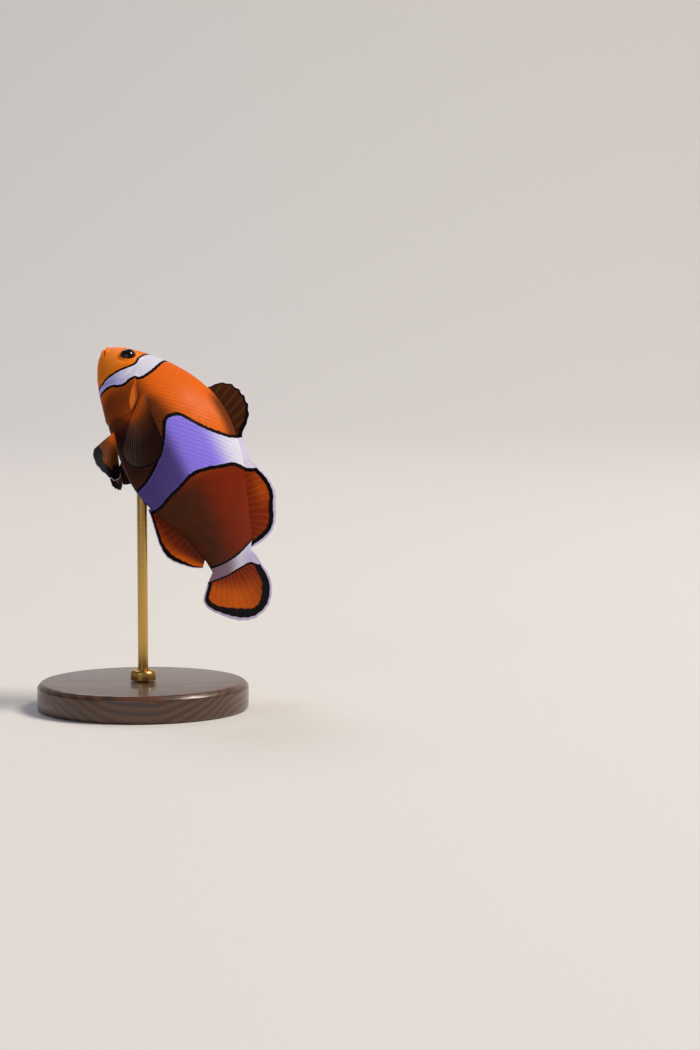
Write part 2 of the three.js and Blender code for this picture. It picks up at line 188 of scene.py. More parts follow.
# Each white band's two edges, and the widths of its black borders in mm.
BANDS = {
    "head": {
        "front": [(0.128, 0.15), (0.13, 0.12), (0.15, 0.057), (0.169, 0.031), (0.173, 0.001),
                  (0.165, -0.037), (0.16, -0.07), (0.155, -0.11), (0.152, -0.16)],
        "rear": [(0.185, 0.17), (0.195, 0.14), (0.227, 0.074), (0.237, 0.031), (0.238, 0.002),
                 (0.226, -0.012), (0.221, -0.033), (0.225, -0.059), (0.216, -0.082), (0.199, -0.097),
                 (0.185, -0.13), (0.18, -0.17)],
        "borders": (0.6, 0.7),
    },
    "middle": {
        "front": [(0.6, 0.34), (0.575, 0.24), (0.559, 0.191), (0.541, 0.165), (0.517, 0.136), (0.495, 0.111),
                  (0.465, 0.084), (0.437, 0.062), (0.414, 0.043), (0.404, 0.019), (0.402, -0.001),
                  (0.408, -0.019), (0.421, -0.032), (0.454, -0.056), (0.488, -0.086), (0.51, -0.117),
                  (0.532, -0.149), (0.556, -0.19), (0.568, -0.221), (0.578, -0.26)],
        "rear": [(0.735, 0.28), (0.714, 0.233), (0.7, 0.2), (0.669, 0.169), (0.648, 0.139), (0.636, 0.095),
                 (0.621, 0.046), (0.611, -0.007), (0.614, -0.048), (0.628, -0.09), (0.642, -0.139),
                 (0.661, -0.185), (0.664, -0.208), (0.666, -0.26)],
        "borders": (0.8, 0.85),
    },
    "stalk": {
        "front": [(0.948, 0.14), (0.963, 0.072), (0.972, 0.029), (0.977, -0.027), (0.975, -0.084),
                  (0.972, -0.13)],
        "rear": [(1.1, 0.16), (1.085, 0.113), (1.054, 0.082), (1.051, 0.036), (1.052, -0.019),
                 (1.043, -0.072), (1.035, -0.13)],
        "borders": (0.7, 0.6),
    },
}
# The eyeball's place and radii, how deep its centre lies, and how far it looks sideways: from 0,
# square to the skin, to 1, square to the fish.
EYE = {"s": 0.114, "h": 0.032, "radius": 2.02 * MM, "depth": 1.95 * MM, "inset": 0.72 * MM, "gaze": 0.6}
NOSTRIL = (0.057, 0.055)
MOUTH = {"h": 0.002, "slope": 0.75}    # the cleft's level at the snout, and how it slants down
MOUTH_RUN = math.hypot(1, MOUTH["slope"])


def smooth(start, end, x):
    """From 0 at the start to 1 at the end, level at both. The end may be below the start."""
    t = np.clip((x - start) / (end - start), 0, 1)
    return t * t * (3 - 2 * t)


def hump(x, width):
    """1 at 0, falling off to both sides."""
    return np.exp(-((x / width) ** 2))


def through(points, places):
    """A smooth curve through points, at places from 0 to 1 along it."""
    ends = np.array(points, float)
    ends = np.vstack([2 * ends[0] - ends[1], ends, 2 * ends[-1] - ends[-2]])
    x = np.clip(places, 0, 1) * (len(points) - 1)
    i = np.minimum(x.astype(int), len(points) - 2)
    t = (x - i)[..., None]
    a, b, c, d = (ends[i + k] for k in range(4))
    return b + 0.5 * t * (c - a + t * (2 * a - 5 * b + 4 * c - d + t * (3 * (b - c) + d - a)))


def profile(values, s):
    """A cubic B-spline of values that are spaced evenly along the square root of s."""
    control = np.array([2 * values[0] - values[1], *values, 2 * values[-1] - values[-2]])
    x = np.minimum(np.sqrt(np.maximum(s, 0)), 1 - 1e-9) * (len(values) - 1)
    i = x.astype(int)
    t = x - i
    weights = ((1 - t) ** 3, 3 * t**3 - 6 * t**2 + 4, -3 * t**3 + 3 * t**2 + 3 * t + 1, t**3)
    return sum(weight * control[i + k] for k, weight in enumerate(weights)) / 6


def back_line(s):
    return profile(BACK, s)


def belly_line(s):
    return -profile(BELLY, s)


def section(s, angle):
    """A point of the bare skin: angle 0 is the back, a quarter turn the left side."""
    top, low = back_line(s), belly_line(s)
    thin = 1 - 0.8 * smooth(0.985, STALK_END, s)
    shallow = 1 - 0.3 * smooth(1.0, STALK_END, s)
    ridge = 1 - BACK_RIDGE * np.maximum(0, np.cos(angle)) ** 2
    w = profile(WIDTH, s) * np.sin(angle) * ridge * thin
    return np.stack([s + 0 * angle, w, (top + low) / 2 + (top - low) / 2 * np.cos(angle) * shallow], -1)


def side_angle(s, h):
    """The section's angle on its left side at a height."""
    top, low = back_line(s), belly_line(s)
    return np.arccos(np.clip((h - (top + low) / 2) / ((top - low) / 2), -1, 1))


def outward(s, angle):
    """The direction away from the flesh, on the straight fish."""
    root, tiny = np.maximum(np.sqrt(s), 0.02), 1e-4
    along = section((root + tiny) ** 2, angle) - section((root - tiny) ** 2, angle)
    around = section(root**2, angle + tiny) - section(root**2, angle - tiny)
    normal = np.cross(along, around)
    return normal / np.linalg.norm(normal, axis=-1, keepdims=True)


# A chart of the skin: turn runs from 0 on the back to 1 (left) or -1 (right) on the belly,
# evenly by distance round the section.
CHART_ROOTS = np.linspace(0, math.sqrt(STALK_END), 260)
CHART_ANGLES = np.linspace(0, math.pi, 241)
CHART_TURNS = np.linspace(0, 1, 241)


def chart():
    """For each root of s the section's angle at each turn, and the girth there."""
    ring = section(np.maximum(CHART_ROOTS, 0.01)[:, None] ** 2, CHART_ANGLES[None, :])
    run = np.cumsum(np.linalg.norm(np.diff(ring, axis=1), axis=-1), axis=1)
    run = np.hstack([np.zeros((len(run), 1)), run])
    angles = [np.interp(CHART_TURNS, row / row[-1], CHART_ANGLES) for row in run]
    return np.array(angles), run[:, -1] * 2 * LENGTH


ANGLES, GIRTHS = chart()


def angle_at(s, turn):
    """The section's angle at a turn of the chart."""
    turn = (turn + 1) % 2 - 1
    x = np.clip(np.sqrt(s) / CHART_ROOTS[-1], 0, 1 - 1e-9) * (len(CHART_ROOTS) - 1)
    y = np.clip(np.abs(turn), 0, 1 - 1e-9) * (len(CHART_TURNS) - 1)
    i, j = x.astype(int), y.astype(int)
    x, y = x - i, y - j
    low = ANGLES[i, j] * (1 - y) + ANGLES[i, j + 1] * y
    high = ANGLES[i + 1, j] * (1 - y) + ANGLES[i + 1, j + 1] * y
    return np.sign(turn) * (low * (1 - x) + high * x)


def from_line(s, h, line):
    """How far places are from a line drawn from back to belly: tailward is positive."""
    line = through(line, np.linspace(0, 1, 4 * len(line)))
    step = np.diff(line, axis=0)
    off = np.stack([s, h], -1)[..., None, :] - line[:-1]
    along = np.clip((off * step).sum(-1) / (step**2).sum(-1), 0, 1)
    gap = np.linalg.norm(off - along[..., None] * step, axis=-1)
    near = gap.argmin(-1)[..., None]
    side = np.sign(step[:, 0] * off[..., 1] - step[:, 1] * off[..., 0])
    return LENGTH * (np.take_along_axis(gap * side, near, -1))[..., 0]


def eye_centre():
    """Where the left eye sits on the skin, and the direction away from the flesh there."""
    s = np.array(EYE["s"])
    angle = side_angle(s, EYE["h"])
    return section(s, angle), outward(s, angle)


EYE_AT, EYE_OUT = eye_centre()


def eye_distance(p):
    """How far places on the straight fish are from the eye on their own side."""
    return LENGTH * np.linalg.norm(p * [1, 0, 1] + np.abs(p) * [0, 1, 0] - EYE_AT, axis=-1)


def above_mouth(s, h):
    """How far places are above the mouth's cleft, square to it."""
    return (h - MOUTH["h"] + MOUTH["slope"] * s) / MOUTH_RUN * LENGTH


def relief(p):
    """How far the folds of the head and the fins' bases stand out from the bare skin. Each fold
    has a height in mm, and a hump's two lengths are its middle and its width."""
    s, w, h = np.moveaxis(p, -1, 0)
    eye = eye_distance(p)
    socket = -1.5 * (1 - smooth(1.38 * MM, 1.84 * MM, eye))
    lid = 0.2 * hump(eye - 2.06 * MM, 0.26 * MM) - 0.08 * hump(eye - 2.7 * MM, 0.4 * MM)

    above = above_mouth(s, h)
    along = s * MOUTH_RUN * LENGTH
    mouth = 1 - smooth(3.0 * MM, 4.1 * MM, along)
    upper_lip = 0.32 * hump(above - 0.5 * MM, 0.42 * MM) - 0.14 * hump(above - 1.25 * MM, 0.3 * MM)
    lower_lip = 0.3 * hump(above + 0.52 * MM, 0.42 * MM) - 0.12 * hump(above + 1.25 * MM, 0.3 * MM)
    cleft = -0.62 * hump(above, 0.13 * MM) * (1 - smooth(3.6 * MM, 4.3 * MM, along))
    lips = (upper_lip + lower_lip) * mouth + cleft

    hole = LENGTH * np.hypot(s - NOSTRIL[0], h - NOSTRIL[1])
    nostril = 0.1 * hump(hole - 0.36 * MM, 0.15 * MM) - 0.35 * hump(hole, 0.2 * MM)

    cheek = from_line(s, h, CHEEK_EDGE)
    cheek_step = 0.16 * (1 - smooth(-0.45 * MM, 0.35 * MM, cheek)) - 0.12 * hump(cheek - 0.3 * MM, 0.38 * MM)
    cheek_step = cheek_step * smooth(0.1, 0.15, s) * (1 - smooth(-0.005, 0.03, h))

    gill = from_line(s, h, GILL_EDGE)
    flare = 0.26 * np.exp(np.minimum(gill, 0) / (1.1 * MM)) * (1 - smooth(0, 0.14 * MM, gill))
    crevice = -0.5 * smooth(0, 0.16 * MM, gill) * np.exp(-np.maximum(gill, 0) / (0.55 * MM))
    opening = (flare + crevice) * (1 - smooth(-0.012, 0.006, h)) * smooth(0.2, 0.235, s)

    base = from_line(s, h, PECTORAL_BASE)
    reach = smooth(-0.135, -0.11, h) * (1 - smooth(-0.045, -0.02, h))
    lobe = 0.4 * hump(base - 0.1 * MM, 0.75 * MM) * reach

    ridge = hump(w * LENGTH, 0.55 * MM)
    sheath = 0.22 * ridge * (h > 0) * smooth(0.34, 0.37, s) * (1 - smooth(0.95, 0.985, s))
    sheath += 0.22 * ridge * (h < 0) * smooth(0.64, 0.67, s) * (1 - smooth(0.9, 0.95, s))
    return MM * (socket + lid + lips + nostril + cheek_step + opening + lobe + sheath)


def heading(s):
    """The spine's direction, in degrees to the right of the trunk's. The head's bend is long,
    the tail's begins behind the belly, and the tail fin turns a little more."""
    head = -HEAD_TURN * (1 - smooth(0.12, 0.62, s))
    tail = TAIL_TURN * smooth(0.55, 1.02, s)
    return head + tail + (FIN_TURN - TAIL_TURN) * smooth(0.95, 1.15, s)


SPINE_STEP = 1 / 256
SPINE_PLACES = np.arange(0, 1.5, SPINE_STEP)
spine_turns = np.radians(heading(SPINE_PLACES[:-1] + SPINE_STEP / 2))
SPINE_X = np.concatenate([[0], np.cumsum(np.cos(spine_turns) * SPINE_STEP)])
SPINE_Y = np.concatenate([[0], np.cumsum(np.sin(spine_turns) * SPINE_STEP)])
POSE = np.array(
    Matrix.Rotation(math.radians(HEADING), 3, "Z")
    @ Matrix.Rotation(math.radians(NOSE_UP), 3, "Y")
    @ Matrix.Rotation(math.radians(BANK), 3, "X")
)


def place(p):
    """From the straight fish to the bent fish in its pose, on its stand."""
    s, w, h = np.moveaxis(p, -1, 0)
    x = np.interp(s, SPINE_PLACES, SPINE_X) - np.interp(PIVOT, SPINE_PLACES, SPINE_X)
    y = np.interp(s, SPINE_PLACES, SPINE_Y) - np.interp(PIVOT, SPINE_PLACES, SPINE_Y)
    turn = np.radians(heading(s))
    bent = np.stack([x + w * np.sin(turn), y - w * np.cos(turn), h], -1) * LENGTH
    return bent @ POSE.T + FISH_AT


def on_skin(s, turn, lift=0.0):
    """Places on the finished skin, and the same places on the bare straight fish."""
    angle = angle_at(s, turn)
    bare = section(s, angle)
    rise = relief(bare) + lift - COAT
    return place(bare + outward(s, angle) * (rise / LENGTH)[..., None]), bare


def band_value(p, names=("head", "middle", "stalk")):
    """Over 0.5 in a white band, between -0.5 and 0.5 in its black border, and less outside."""
    s, _, h = np.moveaxis(p, -1, 0)
    value = np.full(s.shape, -50.0)
    for name in names:
        band = BANDS[name]
        front = from_line(s, h, band["front"]) / (band["borders"][0] * MM)
        rear = -from_line(s, h, band["rear"]) / (band["borders"][1] * MM)
        value = np.maximum(value, np.minimum(front, rear))
    return value


def painted_band_light(s, h):
    """Painted light and shade on the white bands: from 0 where a band is pearly, through 1 where painted
    violet light falls on it, to 2 where painted shade dims it; and down to -1 where painted mauve shade
    lies, low on the stalk."""
    trunk = smooth(0.3, 0.4, s)
    shade = smooth(0.2, 0.05, h) * trunk + smooth(0.01, -0.09, h) * (0.5 + 0.5 * trunk)
    return shade * smooth(0.85, 0.75, s) + smooth(0.8, 0.9, s) * (0.3 - 1.2 * smooth(0.08, -0.03, h))


def body_marks(bare):
    """What the skin's material reads: the bands, the place along the body, the painted shade of the
    belly, the painted highlight on the gill cover's flap, the painted shade of the flank and the
    saddle, and the painted light and shade on the bands."""
    s, _, h = np.moveaxis(bare, -1, 0)
    top, low = back_line(s), belly_line(s)
    # The flap mark places a painted highlight: a bright strip where the gill cover's edge catches the light.
    flap = np.minimum(-from_line(s, h, GILL_EDGE), from_line(s, h, FLAP_EDGE)) / MM
    flap = np.where((h < -0.02) & (h > -0.11), flap, -5)
    height = (h - low) / (top - low)
    trunk = smooth(0.3, 0.4, s)
    # Painted shade darkens the lower flank behind the cheek, less so on the gill cover and the rear body.
    painted_shade = smooth(0.05 + 0.04 * trunk, -0.045, h) * smooth(0.17, 0.25, s) * (1 - 0.6 * smooth(0.45, 0.62, s))
    painted_shade *= 1 - 0.35 * smooth(0.33, 0.29, s)
    # The painted shade is darkest along the belly, is lifted in a lighter spot below the pectoral fin's
    # root, and lies as a dark saddle under the front dorsal fin.
    painted_shade += smooth(-0.08, -0.17, h) * trunk * smooth(0.66, 0.56, s)
    painted_shade += 0.5 * smooth(0.07, -0.1, h) * smooth(0.6, 0.68, s)
    painted_shade -= 0.75 * hump(np.hypot(s - 0.338, h + 0.12), 0.032)
    painted_shade += 0.9 * smooth(0.84, 0.97, height) * smooth(0.34, 0.44, s) * smooth(0.6, 0.55, s)
    return {
        # The belly mark sets painted shade, darker towards the belly.
        "bands": band_value(bare), "along": s, "belly": smooth(0.6, 0.1, height) * smooth(0.1, 0.3, s),
        "flap": flap, "painted_shade": painted_shade, "violet": painted_band_light(s, h),
    }


def make_piece(name, bm, shape, material, crease=None):
    """Shapes a bmesh by a function from its points to their places and marks, as an object."""
    mesh = bpy.data.meshes.new(name)
    bm.to_mesh(mesh)
    bm.free()
    raw = np.zeros(len(mesh.vertices) * 3)
    mesh.vertices.foreach_get("co", raw)
    points, marks = shape(raw.reshape(-1, 3))
    return finish_piece(name, mesh, points, marks, material, crease)


def finish_piece(name, mesh, points, marks, material, crease=None):
    """Gives a mesh its places, marks, smooth faces that look outwards, and material."""
    mesh.vertices.foreach_set("co", points.ravel())
    for mark, values in marks.items():
        attribute = mesh.attributes.new(mark, "FLOAT", "POINT")
        attribute.data.foreach_set("value", np.asarray(values, np.float32).ravel())
    mesh.calc_loop_triangles()
    corners = np.zeros(len(mesh.loop_triangles) * 3, int)
    mesh.loop_triangles.foreach_get("vertices", corners)
    a, b, c = np.moveaxis(points[corners.reshape(-1, 3)] - points.mean(0), 1, 0)
    if (a * np.cross(b, c)).sum() < 0:
        mesh.flip_normals()
    mesh.shade_smooth()
    if crease:
        mesh.set_sharp_from_angle(angle=math.radians(crease))
    mesh.update()
    mesh.materials.append(material)
    made = put(name, mesh)
    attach(made, "root")
    return made


def band_layers(tree, spot, bands, violet, white):
    """How far the bands' edges wander, by some 0.08 mm over each millimetre, and the layers of
    pigment in the black borders and the white bands, with painted violet light, painted shade and
    painted mauve shade over the white."""
    wander = node(tree, "TexNoise", {"Vector": spot, "Scale": 1400.0, "Detail": 2.0})
    wander = node(tree, "MapRange", {0: wander, 1: 0.3, 2: 0.7, 3: -0.1, 4: 0.1})
    edge = node(tree, "Math", {0: bands, 1: wander}, operation="ADD")
    pearl = node(tree, "MapRange", {0: edge, 1: 0.42, 2: 0.6}, interpolation_type="SMOOTHSTEP")
    violet = node(tree, "Math", {0: violet, 1: pearl}, operation="MULTIPLY")
    return wander, [
        (edge, -0.6, -0.42, 1.0, "#030207"),
        (pearl, 0.0, 1.0, 1.0, white),
        # Painted light and shade on the white: violet light, then dim shade, and mauve shade low on the
        # stalk.
        (violet, 0.0, 1.0, 0.95, "#907AFC"),
        (violet, 1.0, 2.0, 0.85, "#3A3060"),
        (violet, 0.0, -1.0, 0.9, "#825868"),
    ]


def pigments(tree, ground, layers):
    """A ground colour under layers of pigment: what each follows, from where to where, how
    strong it gets, and its colour."""
    colour = linear(ground)
    for follows, start, end, strength, pigment in layers:
        factor = node(tree, "MapRange", {0: follows, 1: start, 2: end, 4: strength},
                      interpolation_type="SMOOTHSTEP")
        colour = node(tree, "Mix", {0: factor, 6: colour, 7: linear(pigment)}, 2, data_type="RGBA")
    return colour


# Fish skin under clear mucus: pigment cells in deep orange, pearly white and violet black, soft
# light below the surface, and a wet gloss on top. Painted shade lies on the belly, the lower flank
# and a saddle under the front dorsal fin, a painted highlight on the gill cover's edge, and painted
# light and shade on the white bands; the rear body's red-brown is partly painted shade.
def skin_material():
    made, tree = new_material("wet_fish_skin")
    bands, along, belly, flap, painted_shade, violet, brink = (
        node(tree, "Attribute", {}, 2, attribute_name=mark)
        for mark in ("bands", "along", "belly", "flap", "painted_shade", "violet", "brink")
    )
    spot = node(tree, "TexCoord", {}, 3)
    _, white_bands = band_layers(tree, spot, bands, violet, "#ECE8FA")
    # Blotches are about 4 mm across.
    blotch = node(tree, "TexNoise", {"Vector": spot, "Scale": 260.0, "Detail": 4.0})
    colour = pigments(tree, "#F56C12", [
        # The rear body turns red-brown, partly its own deeper colour and partly painted shade.
        (along, 0.5, 0.66, 1.0, "#7C2405"),
        (along, 0.22, 0.12, 0.9, "#FF8A14"),
        # Painted shade, darker towards the belly.
        (belly, 0.0, 1.0, 0.5, "#4A200C"),
        # Painted shade on the lower flank, along the belly and in a saddle under the front dorsal fin.
        (painted_shade, 0.0, 1.0, 0.9, "#42220E"),
        (painted_shade, 1.0, 2.0, 0.92, "#1C110A"),
        (blotch, 0.35, 0.7, 0.06, "#C83C0E"),
        # Painted highlight along the gill cover's edge, over the painted shade.
        (flap, 0.0, 0.35, 0.95, "#F07824"),
        *white_bands,
        (brink, 0.8, 1.0, 0.14, "#3A1C26"),
    ])
    rough = node(tree, "MapRange", {0: blotch, 1: 0.3, 2: 0.7, 3: 0.4, 4: 0.52})
    # Pores and pigment grains of about 0.2 mm, finer on the real skin, as a faint bump.
    grain = node(tree, "TexNoise", {"Vector": spot, "Scale": 5200.0, "Detail": 2.0})
    bump = node(tree, "Bump", {"Strength": 0.5, "Distance": 0.00004, "Height": grain})
    shader = node(tree, "BsdfPrincipled", {
        "Base Color": colour, "Roughness": rough, "Normal": bump, "IOR": 1.38, "Specular IOR Level": 0.12,
        "Coat Weight": 0.06, "Coat Roughness": 0.2, "Coat IOR": 1.34,
        "Subsurface Weight": 0.14, "Subsurface Radius": (1.0, 0.4, 0.18), "Subsurface Scale": 0.0007,
    })
    node(tree, "OutputMaterial", {"Surface": shader})
    return made


wet_skin = skin_material()


def ball_to_chart(ball):
    """From places on a unit ball to s and turn. Rings of the ball lie closer at the snout."""
    polar = np.arccos(np.clip(ball[:, 2] / np.linalg.norm(ball, axis=1), -1, 1)) / math.pi
    return STALK_END * polar**1.6, np.arctan2(ball[:, 1], ball[:, 0]) / math.pi


def skin_mesh():
    """A ball whose poles are the snout and the tail stalk's end, finer where the head folds."""
    bm = bmesh.new()
    bmesh.ops.create_uvsphere(bm, u_segments=288, v_segments=224, radius=1)
    places = np.array([v.co for v in bm.verts])
    s, turn = ball_to_chart(places)
    bare = section(s, angle_at(s, turn))
    h = bare[:, 2]
    mouth = (s < 0.065) & (np.abs(above_mouth(s, h)) < 0.028 * LENGTH)
    gill = (np.abs(from_line(s, h, GILL_EDGE)) < 0.8 * MM) & (h < 0.012) & (s > 0.2)
    hole = np.hypot(s - NOSTRIL[0], h - NOSTRIL[1]) < 0.013
    fine = (eye_distance(bare) < 3.1 * MM) | mouth | gill | hole
    bm.verts.ensure_lookup_table()
    edges = [e for e in bm.edges if fine[e.verts[0].index] and fine[e.verts[1].index]]
    bmesh.ops.subdivide_edges(bm, edges=edges, cuts=1, use_grid_fill=True)
    return bm


def skin_shape(ball):
    points, bare = on_skin(*ball_to_chart(ball))
    return points, body_marks(bare)


skin = make_piece("skin", skin_mesh(), skin_shape, wet_skin)
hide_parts("head", "lower_jaw", "gill_cover_left", "gill_cover_right", "trunk", "tail")

# ---- The scales ----
# Thin bony plates set in the skin like roof tiles, each lying over the one behind it. They are
# largest on the flank and smallest on the cheeks; the snout, lips, lids and gill edges are bare.

# How many scales go round the body, from each place along it on to the next.
ROWS = [(0.074, 50), (0.12, 48), (0.3, 46), (0.75, 40), (0.83, 34), (0.9, 28), (1.035, 28)]
# In scale heights: the step to the next column, the half width, how far the tip stands out, how
# far the sides droop, and the thickness. In steps: the length, and how much the tip is rounded.
SCALE = {"step": 0.4, "half": 0.6, "rise": 0.062, "droop": 0.012, "thick": 0.018, "long": 2.4, "round": 1.0}
BED = 0.02 * MM                   # how deep a scale's root is bedded below the coat
PATCH = 0.003                     # the share of the colour map, each way, that a scale takes


def plate():
    """One scale on [0, 1] by [-1, 1], 1 thick: a rounded top, a rim and a flat underside."""
    bm = bmesh.new()
    bmesh.ops.create_grid(bm, x_segments=3, y_segments=6, size=1)
    bmesh.ops.solidify(bm, geom=bm.faces[:], thickness=1)
    under = min(v.co.z for v in bm.verts)
    hidden = [f for f in bm.faces if all(abs(v.co.z - under) < 0.01 for v in f.verts)]
    bmesh.ops.dissolve_faces(bm, faces=hidden, use_verts=True)
    bmesh.ops.recalc_face_normals(bm, faces=bm.faces)
    places = np.array([v.co for v in bm.verts])
    places = np.stack([(places[:, 0] + 1) / 2, places[:, 1], places[:, 2] - under], -1)
    faces = [[v.index for v in f.verts] for f in bm.faces]
    bm.free()
    return places, faces


def scale_roots(rng):
    """The root and size of each scale, in columns round the body that step back by half a row."""
    found = []
    for (start, rows), (end, _) in zip(ROWS, ROWS[1:]):
        s, column = start, 0
        while s < end:
            girth = np.interp(math.sqrt(s), CHART_ROOTS, GIRTHS)
            height = girth / rows
            step = SCALE["step"] * height
            turns = (np.arange(rows) + 0.5 * (column % 2) + 0.25) * 2 / rows - 1
            turns = turns + rng.normal(0, 0.02, rows) * 2 / rows
            places = s + rng.normal(0, 0.06, rows) * step / LENGTH
            found.append(np.stack([places, turns, np.full(rows, height)], -1))
            s += step / LENGTH
            column += 1
    found = np.vstack(found)
    bare = section(found[:, 0], angle_at(found[:, 0], found[:, 1]))
    s, _, h = bare.T
    length = SCALE["long"] * SCALE["step"] * found[:, 2]
    lips = (s < 0.085) & (h < 0.06 - 0.3 * s)
    lid = eye_distance(bare) < 2.6 * MM + 0.5 * length
    snout = LENGTH * np.hypot(s - NOSTRIL[0], h - NOSTRIL[1]) < 1.2 * MM
    # Scales that would bridge the gill's opening, the flap before it or the step at the pectoral
    # fin's base are left out.
    gill = from_line(s, h, GILL_EDGE)
    torn = (gill > -0.35 * MM - length) & (gill < 0.55 * MM) & (h < 0.012) & (s > 0.2)
    torn |= (from_line(s, h, FLAP_EDGE) > -length) & (gill < 0.55 * MM) & (h < -0.02) & (h > -0.11)
    base = (np.abs(from_line(s, h, PECTORAL_BASE) + length / 2) < 0.8 * MM) & (h < -0.03) & (h > -0.122)
    return found[~(lid | lips | torn | base | snout)]


def scale_coat(name, roots, rng):
    """Lays one plate at each root along the fish. The copies are joined as one mesh by their
    numbers, because there are thousands."""
    shape, faces = plate()
    a, b, top = shape.T
    height = roots[:, 2:3]
    step = SCALE["step"] * height
    back = a * (SCALE["long"] - SCALE["round"] * (2 * SCALE["half"] * b) ** 2) * step
    across = b * SCALE["half"] * height
    tilt = 1 + rng.normal(0, 0.07, (len(roots), 1))
    rise = SCALE["rise"] * back / (SCALE["long"] * step) * tilt
    rise = height * (rise - SCALE["droop"] * b**2 - SCALE["thick"] * (1 - top))
    lift = rise - BED
    s = roots[:, :1] + back / LENGTH
    girth = np.interp(np.sqrt(s), CHART_ROOTS, GIRTHS)
    turn = roots[:, 1:2] + across * 2 / girth
    points, bare = on_skin(np.minimum(s, STALK_END - 0.001), turn, lift)
    marks = body_marks(bare)
    marks["brink"] = a + 0 * height

    count, size = len(roots), len(shape)
    mesh = bpy.data.meshes.new(name)
    corners = np.concatenate([np.array(f) for f in faces])
    lengths = np.array([len(f) for f in faces])
    loops = (corners[None, :] + size * np.arange(count)[:, None]).ravel()
    starts = np.cumsum(lengths) - lengths
    starts = (starts[None, :] + len(corners) * np.arange(count)[:, None]).ravel()
    mesh.vertices.add(count * size)
    mesh.loops.add(len(loops))
    mesh.loops.foreach_set("vertex_index", loops)
    mesh.polygons.add(len(starts))
    mesh.polygons.foreach_set("loop_start", starts)
    mesh.update(calc_edges=True)
    made = finish_piece(name, mesh, points.reshape(-1, 3), marks, wet_skin, 50)

    # Each scale is a patch of the map at its root's place on the chart of the skin. The map has
    # a margin of about 0.02.
    u = roots[:, :1] * 0.9 + 0.02 + (a - 0.5) * PATCH
    v = (roots[:, 1:2] + 1) / 2 * 0.96 + 0.02 + b / 2 * PATCH
    uv = np.stack([u, v], -1).reshape(-1, 2)
    order = np.zeros(len(mesh.loops), int)
    mesh.loops.foreach_get("vertex_index", order)
    mesh.uv_layers.new(name="OFBake").data.foreach_set("uv", uv[order].ravel())


rng = np.random.default_rng(7)
roots = scale_roots(rng)
on_head = roots[:, 0] < 0.3
left = (roots[:, 1] + 1) % 2 - 1 > 0
coats = {
    "scales_head": roots[on_head],
    "scales_left": roots[~on_head & left],
    "scales_right": roots[~on_head & ~left],
}
for name, chosen in coats.items():
    scale_coat(name, chosen, rng)

# ---- The fins ----
# Clear skin webs held on bony rays: stiff single spines in front, and behind them soft rays
# that part into two and then four. Each has a black margin and a thin pale rim.

FIN_SINK = 0.07                   # how far a root runs on into the flesh, as a share of the fin
WEB = 0.07 * MM                   # half the web's thickness
RAY = 0.06 * MM                   # how far a ray stands out of the web on each side, at its root
# Where a root starts, and how far it runs on towards the tail and drops.
PECTORAL_ROOT = {"s": 0.308, "h": -0.04, "run": 0.033, "drop": 0.072}
PELVIC_ROOT = {"s": 0.345, "w": 0.03, "run": 0.033}


def midline_fin(edge, start, end, tips):
    """The root, 0.5 mm deep in the back or belly, and the tips [s, h] of a fin on the midline."""
    def root(t):
        s = start + (end - start) * t
        h = edge(s)
        return np.stack([s, 0 * s, h - np.sign(h) * 0.5 * MM / LENGTH], -1)
    return root, lambda t: through([(s, 0, h) for s, h in tips], t)


def fanned(root, axis, across, length, spread):
    """Tips of a fin whose rays spread like a fan from its root about an axis [s, w, h]."""
    forward = np.array(axis) / np.linalg.norm(axis)
    sideways = np.array(across, float)
    sideways -= (sideways @ forward) * forward
    sideways /= np.linalg.norm(sideways)
    def tips(t):
        angle = np.radians(spread) * (t - 0.5)
        reach = length * (1 - 0.28 * np.abs(2 * t - 1) ** 3)
        out, over = reach * np.cos(angle), reach * np.sin(angle)
        return root(t) + forward * out[..., None] + sideways * over[..., None]
    return tips


def pectoral(side, **fan):
    """The root of a pectoral fin, slanting down on its fleshy base 0.6 mm out, and its tips."""
    def root(t):
        s = PECTORAL_ROOT["s"] + PECTORAL_ROOT["run"] * t
        h = PECTORAL_ROOT["h"] - PECTORAL_ROOT["drop"] * t
        w = section(s, side_angle(s, h))[..., 1]
        return np.stack([s, side * (w + 0.6 * MM / LENGTH), h], -1)
    return root, fanned(root, **fan)


def pelvic(side, **fan):
    """The root of a pelvic fin, 0.6 mm below the belly to one side of its keel, and its tips."""
    def root(t):
        s, w = PELVIC_ROOT["s"] + PELVIC_ROOT["run"] * t, PELVIC_ROOT["w"]
        top, low = back_line(s), belly_line(s)
        h = (top + low) / 2 - (top - low) / 2 * np.sqrt(np.maximum(0, 1 - (w / profile(WIDTH, s)) ** 2))
        return np.stack([s, side * w + 0 * s, h - 0.6 * MM / LENGTH], -1)
    return root, fanned(root, **fan)


def stalk_root(t):
    """The root of the tail fin, down the stalk, 0.3 mm behind the standard length's end."""
    top, low = back_line(1.0) - 0.002, belly_line(1.0) + 0.002
    return np.stack([1 + 0.3 * MM / LENGTH + 0 * t, 0 * t, top + (low - top) * t], -1)


# The pectoral fins carry painted brown shade over the web, and painted shade that deepens to the tips.
PECTORAL_WEB = {
    "rays": 18, "branch": 0.4, "notch": 0.008, "painted_fin_shade": 1.0,
    "dark": [(0, 0), (0.35, 0.5), (0.65, 0.95), (1, 1)],
    "edge": [(0, 0.01, 0.3), (0.5, 0.01, 0.5), (1, 0.01, 0.3)],
}
# The pelvic fins carry painted brown shade over the web.
PELVIC_WEB = {"rays": 6, "branch": 0.3, "notch": 0.02, "painted_fin_shade": 0.92}
